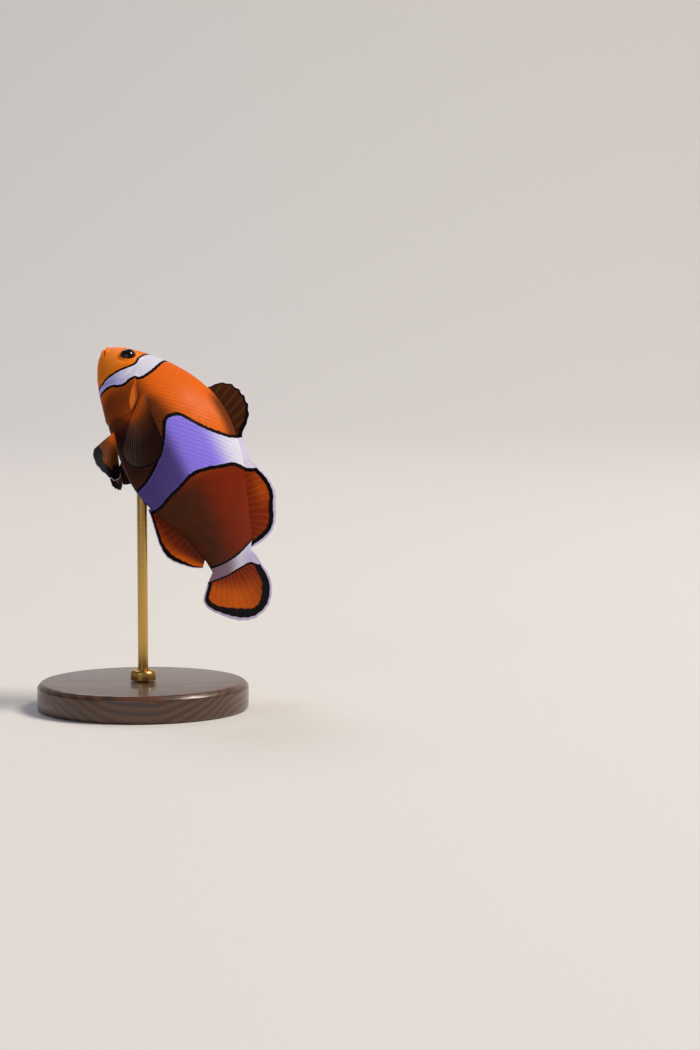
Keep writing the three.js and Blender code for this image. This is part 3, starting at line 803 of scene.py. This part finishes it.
# Rays part at "branch", a share of their length that spines never reach, and the outline dips by
# "notch" between them. "bands" are the white bands that run on over the fin. "dark" gives how
# dark it is at places from the root out: the spiny dorsal fin's own pigment, and painted shade on
# the other fins. The painted glow gives how much painted light shines golden through the web at
# places from the first ray to the last, and "glow" where on the rays that begins and is full. The
# paired fins' painted brown shade gives how much of the web it darkens, and "bow" how far the web
# bulges sideways. "edge" gives, from the first ray to the last, the widths in mm of the pale rim
# and of the whole margin, the black with the rim.
FINS = {
    "dorsal_fin_spiny": {
        "shape": midline_fin(back_line, 0.352, 0.672, [
            (0.355, 0.238), (0.357, 0.272), (0.378, 0.307), (0.412, 0.326), (0.447, 0.331),
            (0.485, 0.326), (0.523, 0.307), (0.55, 0.277), (0.572, 0.247), (0.615, 0.234), (0.675, 0.229)]),
        "rays": 11, "branch": 2.0, "notch": 0.05, "bands": ("middle",), "dark": [(0, 0.85), (0.12, 1)],
        "edge": [(0, 0.08, 0.3), (0.3, 0.1, 0.5), (0.5, 0.1, 0.75), (0.62, 0.12, 1.1), (0.75, 0.12, 1.0),
                 (0.8, 0.12, 1.5), (1, 0.12, 1.5)],
    },
    "dorsal_fin_soft": {
        "shape": midline_fin(back_line, 0.674, 0.985, [
            (0.677, 0.23), (0.712, 0.24), (0.748, 0.254), (0.788, 0.264), (0.83, 0.265), (0.875, 0.25),
            (0.93, 0.232), (0.968, 0.207), (0.986, 0.172), (0.992, 0.14), (0.991, 0.116)]),
        # Painted shade near the root.
        "rays": 15, "branch": 0.45, "notch": 0.012, "bands": ("middle",), "dark": [(0, 0.25), (0.7, 0)],
        # Painted light glowing golden through the web.
        "painted_glow": [(0.12, 0.25), (0.35, 0.45), (0.55, 0.12), (1, 0.1)],
        "edge": [(0, 0.3, 1.3), (0.2, 0.35, 1.3), (0.35, 0.6, 1.6), (0.5, 0.85, 2.1), (0.62, 0.65, 1.95),
                 (0.78, 0.75, 2.2), (0.9, 0.7, 1.7), (1, 0.5, 1.3)],
    },
    "anal_fin": {
        "shape": midline_fin(belly_line, 0.65, 0.925, [
            (0.648, -0.2205), (0.672, -0.223), (0.7, -0.2285), (0.735, -0.235), (0.787, -0.241),
            (0.837, -0.234), (0.875, -0.212), (0.91, -0.179), (0.938, -0.148), (0.961, -0.111)]),
        "rays": 13, "branch": 0.5, "notch": 0.012, "bands": ("middle",),
        # Painted shade, strongest near the root.
        "dark": [(0, 0.5), (0.5, 0.42), (0.85, 0)],
        # Painted light glowing golden through the rear rays, beyond the middle of their length.
        "painted_glow": [(0, 0), (0.35, 0.12), (0.7, 0.75), (1, 0.9)], "glow": (0.3, 0.8),
        "edge": [(0, 0.1, 0.6), (0.3, 0.18, 0.82), (0.45, 0.2, 0.95), (0.55, 0.22, 1.3), (0.7, 0.3, 1.15),
                 (0.82, 0.25, 0.75), (1, 0.15, 0.3)],
    },
    "caudal_fin": {
        "shape": (stalk_root, lambda t: through([(s, 0, h) for s, h in [
            (1.03, 0.114), (1.095, 0.131), (1.155, 0.149), (1.215, 0.156), (1.278, 0.144), (1.32, 0.115),
            (1.335, 0.06), (1.315, 0.008), (1.273, -0.04), (1.22, -0.084), (1.16, -0.126),
            (1.105, -0.141), (1.043, -0.112)]], t)),
        "rays": 17, "branch": 0.35, "notch": 0.01, "bands": ("stalk",),
        # Painted light glowing golden through the web, strongest on the lower rays.
        "painted_glow": [(0, 0.05), (0.25, 0.1), (0.4, 0.45), (0.6, 0.85), (1, 0.8)],
        "edge": [(0, 0.6, 1.2), (0.12, 0.4, 1.1), (0.22, 0.55, 1.7), (0.3, 0.7, 2.3), (0.36, 0.75, 3.0),
                 (0.46, 0.8, 3.5), (0.58, 0.85, 3.35), (0.66, 0.75, 2.7), (0.75, 0.55, 1.95),
                 (0.85, 0.45, 1.6), (0.94, 0.35, 1.15), (1, 0.3, 1.0)],
    },
    "pectoral_fin_left": {
        "shape": pectoral(1, axis=[0.77, 0.34, -0.53], across=[-0.5, 0.1, -0.8], length=0.245, spread=34),
        **PECTORAL_WEB, "bow": 0.012,
    },
    "pectoral_fin_right": {
        "shape": pectoral(-1, axis=[0.8, -0.55, -0.25], across=[-0.25, 0.1, -0.95], length=0.24, spread=40),
        **PECTORAL_WEB, "bow": -0.012,
    },
    "pelvic_fin_left": {
        "shape": pelvic(1, axis=[0.54, 0.42, -0.66], across=[0.81, -0.1, 0.4], length=0.2, spread=38),
        **PELVIC_WEB, "bow": 0.006, "edge": [(0, 0.08, 1.8), (0.5, 0.08, 2.5), (1, 0.08, 2.0)],
    },
    "pelvic_fin_right": {
        "shape": pelvic(-1, axis=[0.76, -0.66, -0.2], across=[0.7, 0.45, 0.56], length=0.21, spread=18),
        **PELVIC_WEB, "bow": -0.006, "edge": [(0, 0.08, 1.0), (0.5, 0.08, 1.6), (1, 0.08, 1.0)],
    },
}


def ray_height(t, v, rays, branch):
    """From 0 on the web to 1 on a ray's crest, with the ray parting in two and then in four."""
    cell = t * rays
    off = cell - np.floor(cell) - 0.5
    fork = 0.25 * smooth(branch, branch + 0.7, v)
    twig = 0.125 * smooth(branch + 0.3, branch + 0.9, v)
    width = 0.16 - 0.07 * smooth(branch - 0.1, branch + 0.35, v)
    crest = 0 * off
    for one in (-1, 1):
        for two in (-1, 1):
            crest = np.maximum(crest, hump(off - one * fork - two * twig, width))
    return crest


EDGE_PLACES = np.linspace(0, 1, 240)      # where along the tips the margin's width is taken from


def make_fin(name, spec, material):
    """A web with its rays: t runs from the first ray to the last, v from the root to the tips."""
    root, tip = spec["shape"]
    rays, bow = spec["rays"], spec.get("bow", 0)
    dark_places, dark_values = np.array(spec.get("dark", [(0, 0)])).T
    painted_glow_places, painted_glow_values = np.array(spec.get("painted_glow", [(0, 0)])).T

    def middle(t, v):
        off = (t * rays) % 1 - 0.5
        reach = v * (1 - spec["notch"] * (0.5 - 0.5 * np.cos(2 * np.pi * off)))
        return root(t) * (1 - reach)[..., None] + tip(t) * reach[..., None]

    def lay(t, v):
        over = middle(np.minimum(t + 0.01, 1), v) - middle(np.maximum(t - 0.01, 0), v)
        out = tip(t) - root(t)
        normal = np.cross(over, out)
        normal /= np.linalg.norm(normal, axis=-1, keepdims=True)
        lift = bow * np.sin(np.pi * t) * v * (2 - v) * (v > 0)
        return middle(t, v) + normal * lift[..., None], normal

    def shape(raw):
        t, v = (raw[:, 0] + 1) / 2, (raw[:, 1] + 1) / 2 * (1 + FIN_SINK) - FIN_SINK
        side = np.where(raw[:, 2] > raw[:, 2].mean(), 1, -1)
        mid, normal = lay(t, v)
        crest = ray_height(t, v, rays, spec["branch"])
        thin = (1 - 0.72 * smooth(0.1, 1.0, v)) * smooth(0.0, 0.25, v)
        half = (WEB * (1 - 0.45 * smooth(0.5, 1, v)) + RAY * crest * thin) * side
        flat, brim = middle(t, v), middle(EDGE_PLACES, 1 + 0 * EDGE_PLACES)
        inward = LENGTH / MM * np.sqrt(((flat[:, None, :] - brim[None]) ** 2).sum(-1).min(1))
        at, rim, margin = np.array(spec["edge"]).T
        # How dark the fin is: the spiny dorsal fin's own pigment, and painted shade on the other fins.
        dark = np.interp(v, dark_places, dark_values)
        # Painted light that glows golden through the web.
        painted_glow = np.interp(t, painted_glow_places, painted_glow_values) * smooth(*spec.get("glow", (0.1, 0.6)), v)
        # Painted brown shade on the paired fins.
        painted_fin_shade = spec.get("painted_fin_shade", 0) * (0.5 + 0.5 * smooth(0, 0.45, v))
        marks = {
            "bands": band_value(flat, spec.get("bands", ())), "along": flat[:, 0],
            "violet": painted_band_light(flat[:, 0], flat[:, 2]), "ray": crest,
            "margin": inward / np.interp(t, at, margin), "rim": (inward + 0.02) / np.interp(t, at, rim),
            "dark": dark, "painted_glow": painted_glow, "painted_fin_shade": painted_fin_shade, "stripe": dark * crest * (1 - 0.8 * painted_fin_shade),
        }
        return place(mid + normal * (half / LENGTH)[..., None]), marks

    bm = bmesh.new()
    bmesh.ops.create_grid(bm, x_segments=rays * 10, y_segments=48, size=1)
    bmesh.ops.solidify(bm, geom=bm.faces[:], thickness=1)
    made = make_piece(name + "_web", bm, shape, material)
    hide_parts(name)


# Fin web: thin clear skin with orange pigment, so that light comes through; rays are a little
# paler and denser, the margin is violet black and its very edge clear and pale. The rear fins turn
# red-brown, partly painted shade, with painted light glowing golden through them; painted shade
# darkens the pectoral, anal and soft dorsal fins, and painted brown shade lies on the paired fins.
def fin_material():
    made, tree = new_material("fin_web")
    bands, along, violet, ray, margin, rim, dark, painted_glow, painted_fin_shade, stripe = (
        node(tree, "Attribute", {}, 2, attribute_name=mark)
        for mark in ("bands", "along", "violet", "ray", "margin", "rim", "dark", "painted_glow", "painted_fin_shade", "stripe")
    )
    spot = node(tree, "TexCoord", {}, 3)
    wander, white_bands = band_layers(tree, spot, bands, violet, "#E2DDF8")
    fray = node(tree, "Math", {0: wander, 1: 0.4}, operation="MULTIPLY")
    margin = node(tree, "Math", {0: margin, 1: fray}, operation="ADD")
    # Blotches are about 3 mm across.
    blotch = node(tree, "TexNoise", {"Vector": spot, "Scale": 320.0, "Detail": 4.0})
    colour = pigments(tree, "#F06C12", [
        # The rear fins turn red-brown, partly their own deeper colour and partly painted shade.
        (along, 0.5, 0.66, 1.0, "#7C2405"),
        # Painted light glowing golden through the web.
        (painted_glow, 0.0, 1.0, 0.9, "#E26808"),
        (blotch, 0.35, 0.7, 0.06, "#C83C0E"),
        (ray, 0.0, 1.0, 0.06, "#F5A24A"),
        # Painted brown shade on the paired fins.
        (painted_fin_shade, 0.0, 1.0, 0.95, "#44260E"),
        # Painted shade on the pectoral, anal and soft dorsal fins; on the spiny dorsal fin, its own dark
        # pigment.
        (dark, 0.0, 1.0, 0.95, "#170806"),
        (stripe, 0.0, 1.0, 0.7, "#4C3618"),
        (margin, 1.06, 0.94, 1.0, "#030207"),
        *white_bands,
        (rim, 1.15, 0.85, 1.0, "#D2CAEC"),
    ])
    shader = node(tree, "BsdfPrincipled", {
        "Base Color": colour, "Roughness": 0.45, "IOR": 1.38, "Specular IOR Level": 0.08,
        "Coat Weight": 0.03, "Coat Roughness": 0.2, "Coat IOR": 1.34,
        "Subsurface Weight": 0.25, "Subsurface Radius": (1.0, 0.5, 0.25), "Subsurface Scale": 0.0004,
    })
    node(tree, "OutputMaterial", {"Surface": shader})
    return made


web_material = fin_material()
for name, spec in FINS.items():
    make_fin(name, spec, web_material)

# ---- The eyes ----
# A ball with a black pupil and a dark brown iris that turns orange at its rim, under a clear
# cornea. It sits in a bony socket behind a low ring of skin.

# Iris and pupil: "ring" is the distance in mm from the eye's axis, or 3 on the hidden half, and
# the pupil ends at 1.2 mm. Flecks of about 0.3 mm mix the brown and the orange.
eye_ball, tree = new_material("iris_and_pupil")
ring = node(tree, "Attribute", {}, 2, attribute_name="ring")
spot = node(tree, "TexCoord", {}, 3)
fleck = node(tree, "TexNoise", {"Vector": spot, "Scale": 3000.0, "Detail": 3.0})
fleck = node(tree, "MapRange", {0: fleck, 1: 0.3, 2: 0.7, 3: -0.12, 4: 0.12})
ring_in = node(tree, "Math", {0: ring, 1: fleck}, operation="ADD")
iris = pigments(tree, "#33120A", [
    (ring_in, 1.45, 2.0, 1.0, "#A8521C"),
    (ring, 1.31, 1.26, 0.5, "#7A4C1C"),
    (ring, 1.23, 1.16, 1.0, "#050509"),
])
shader = node(tree, "BsdfPrincipled", {
    "Base Color": iris, "Roughness": 0.3, "Specular IOR Level": 0.1,
    "Coat Weight": 0.3, "Coat Roughness": 0.05})
node(tree, "OutputMaterial", {"Surface": shader})

# Cornea: clear wet tissue that shows only its sharp highlight.
cornea, tree = new_material("clear_cornea")
glance = node(tree, "Fresnel", {"IOR": 1.38})
clear = node(tree, "BsdfTransparent", {})
gloss = node(tree, "BsdfGlossy", {"Roughness": 0.03})
clear = node(tree, "MixShader", {0: glance, 1: clear, 2: gloss})
node(tree, "OutputMaterial", {"Surface": clear})


def make_eye(name, side, grow, material, hollow):
    """An eyeball, or the cornea that is larger by "grow". The iris dips by "hollow" round the
    pupil."""
    def shape(ball):
        flip = np.array([1, side, 1])
        out = EYE_OUT * (1 - EYE["gaze"]) * flip + np.array([0, side, 0]) * EYE["gaze"]
        out /= np.linalg.norm(out)
        up = np.array([0, 0, 1]) - out[2] * out
        up /= np.linalg.norm(up)
        forward = np.cross(up, out)
        radius, depth = EYE["radius"] + grow, EYE["depth"] + grow
        x, y, z = ball.T
        rho = np.hypot(x, y) * radius
        dip = hollow * smooth(1.1 * MM, 1.25 * MM, rho) * (1 - smooth(1.5 * MM, 2.1 * MM, rho)) * (z > 0)
        local = (x * radius)[:, None] * forward + (y * radius)[:, None] * up
        local += (z * depth - dip)[:, None] * out
        centre = (EYE_AT - EYE_OUT * (EYE["inset"] + COAT) / LENGTH) * flip
        return place(centre + local / LENGTH), {"ring": np.where(z > 0, rho / MM, 3)}

    bm = bmesh.new()
    bmesh.ops.create_uvsphere(bm, u_segments=64, v_segments=48, radius=1)
    made = make_piece(name, bm, shape, material)
    return made


for name, side in (("left", 1), ("right", -1)):
    ball = make_eye(f"eyeball_{name}", side, 0.0, eye_ball, 0.1 * MM)
    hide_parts(f"eye_{name}")
    make_eye(f"cornea_{name}", side, 0.05 * MM, cornea, 0.0)

# ---- The stand ----
# A turned walnut base with a satin varnish, and a brass rod set in it through a small turned
# brass collar. The rod runs up into the fish's belly.

# "rounding" is how far the turner's sandpaper and polish took off the edges.
BASE = {"radius": 25 * MM, "height": 6.5 * MM, "chamfer": 1 * MM, "foot": 0.5 * MM, "rounding": 0.35 * MM}
ROD = {"radius": 1.2 * MM, "socket": 4.5 * MM, "gap": 0.3 * MM, "rounding": 0.15 * MM}
COLLAR = {"radius": 3 * MM, "height": 2.4 * MM, "chamfer": 0.5 * MM, "rounding": 0.15 * MM}
ROD_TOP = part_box("stand_rod")[1].z


def turned(name, outline, rounding, steps, material):
    """A piece turned from an outline of [radius, height, rounded or not]."""
    bm = bmesh.new()
    rim = [bm.verts.new((r, 0, z)) for r, z, _ in outline]
    for a, b in zip(rim, rim[1:]):
        bm.edges.new((a, b))
    corners = [v for v, (_, _, soft) in zip(rim, outline) if soft]
    bmesh.ops.bevel(bm, geom=corners, offset=rounding, offset_type="OFFSET", segments=4,
                    profile=0.5, affect="VERTICES", material=-1)
    bmesh.ops.spin(bm, geom=bm.verts[:] + bm.edges[:], cent=(0, 0, 0), axis=(0, 0, 1),
                   angle=math.tau, steps=steps, use_merge=True)
    bmesh.ops.remove_doubles(bm, verts=bm.verts, dist=1e-6)
    bmesh.ops.recalc_face_normals(bm, faces=bm.faces)
    return make_piece(name, bm, lambda raw: (raw, {}), material, 40)


# Walnut turned from a board and varnished: growth rings cut flat across the top, dark pores
# along the grain, and a satin gloss.
walnut, tree = new_material("varnished_walnut")
spot = node(tree, "TexCoord", {}, 3)
warp = node(tree, "TexNoise", {"Vector": spot, "Scale": 22.0, "Detail": 3.0}, 1)
lean = node(tree, "VectorMath", {0: warp, 1: (0.5, 0.5, 0.5)}, operation="SUBTRACT")
lean = node(tree, "VectorMath", {0: lean, 1: (0.0, 0.008, 0.008)}, operation="MULTIPLY")
spot_bent = node(tree, "VectorMath", {0: spot, 1: lean}, operation="ADD")
# The heart of the tree lies 14 mm below the base; rings are about 1.5 mm apart.
rings = node(tree, "Mapping", {"Vector": spot_bent, "Location": (0, 0.006, 0.014), "Scale": (0.12, 1, 1)})
rings = node(tree, "VectorMath", {0: rings}, 1, operation="LENGTH")
rings = node(tree, "Math", {0: rings, 1: math.tau / (1.5 * MM)}, operation="MULTIPLY")
rings = node(tree, "Math", {0: rings}, operation="SINE")
rings = node(tree, "MapRange", {0: rings, 1: -1.0, 2: 1.0}, interpolation_type="SMOOTHERSTEP")
wood = node(tree, "Mix", {0: rings, 6: linear("#40261A"), 7: linear("#5E3A24")}, 2, data_type="RGBA")
# Pores are 0.2 mm wide and some 5 mm long, along X.
pores = node(tree, "Mapping", {"Vector": spot, "Scale": (180, 4200, 4200)})
pores = node(tree, "TexNoise", {"Vector": pores, "Scale": 1.0, "Detail": 2.0})
pores = node(tree, "MapRange", {0: pores, 1: 0.6, 2: 0.72})
wood = node(tree, "Mix", {0: pores, 6: wood, 7: linear("#1E0F08")}, 2, data_type="RGBA")
bump = node(tree, "Bump", {"Strength": 0.25, "Distance": 0.00004, "Height": pores}, invert=True)
shader = node(tree, "BsdfPrincipled", {
    "Base Color": wood, "Roughness": 0.38, "Normal": bump, "Coat Weight": 0.5, "Coat Roughness": 0.12})
node(tree, "OutputMaterial", {"Surface": shader})

# Turned brass, drawn and lightly polished: a warm yellow metal with fine rings from the lathe.
brass, tree = new_material("turned_brass")
spot = node(tree, "TexCoord", {}, 3)
lathe = node(tree, "Mapping", {"Vector": spot, "Scale": (60, 60, 9000)})
lathe = node(tree, "TexNoise", {"Vector": lathe, "Scale": 1.0, "Detail": 2.0})
dull = node(tree, "MapRange", {0: lathe, 1: 0.3, 2: 0.7, 3: 0.24, 4: 0.3})
bump = node(tree, "Bump", {"Strength": 0.05, "Distance": 0.00001, "Height": lathe})
shader = node(tree, "BsdfPrincipled", {
    "Base Color": linear("#C9A25A"), "Metallic": 1.0, "Roughness": dull, "Normal": bump})
node(tree, "OutputMaterial", {"Surface": shader})

bore = ROD["radius"] + ROD["gap"]
floor_of_bore = BASE["height"] - ROD["socket"]
side, top, foot, chamfer = BASE["radius"], BASE["height"], BASE["foot"], BASE["chamfer"]
base = turned("base", [
    (0, 0, 0), (side - foot, 0, 1), (side, foot, 1), (side, top - chamfer, 1), (side - chamfer, top, 1),
    (bore, top, 0), (bore, floor_of_bore, 0), (0, floor_of_bore, 0)], BASE["rounding"], 160, walnut)
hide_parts("stand_base")

low = BASE["height"] + ROD["gap"]
high = low + COLLAR["height"]
side, chamfer = COLLAR["radius"], COLLAR["chamfer"]
collar = turned("collar", [
    (bore, low, 0), (side, low, 1), (side, high - chamfer, 1), (side - chamfer, high, 1),
    (bore, high, 1), (bore, low, 0)], COLLAR["rounding"], 96, brass)
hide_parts("stand_collar")

low = floor_of_bore + ROD["gap"]
rod = turned("rod", [
    (0, low, 0), (ROD["radius"], low, 1), (ROD["radius"], ROD_TOP, 1), (0, ROD_TOP, 0)],
    ROD["rounding"], 64, brass)
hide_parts("stand_rod")
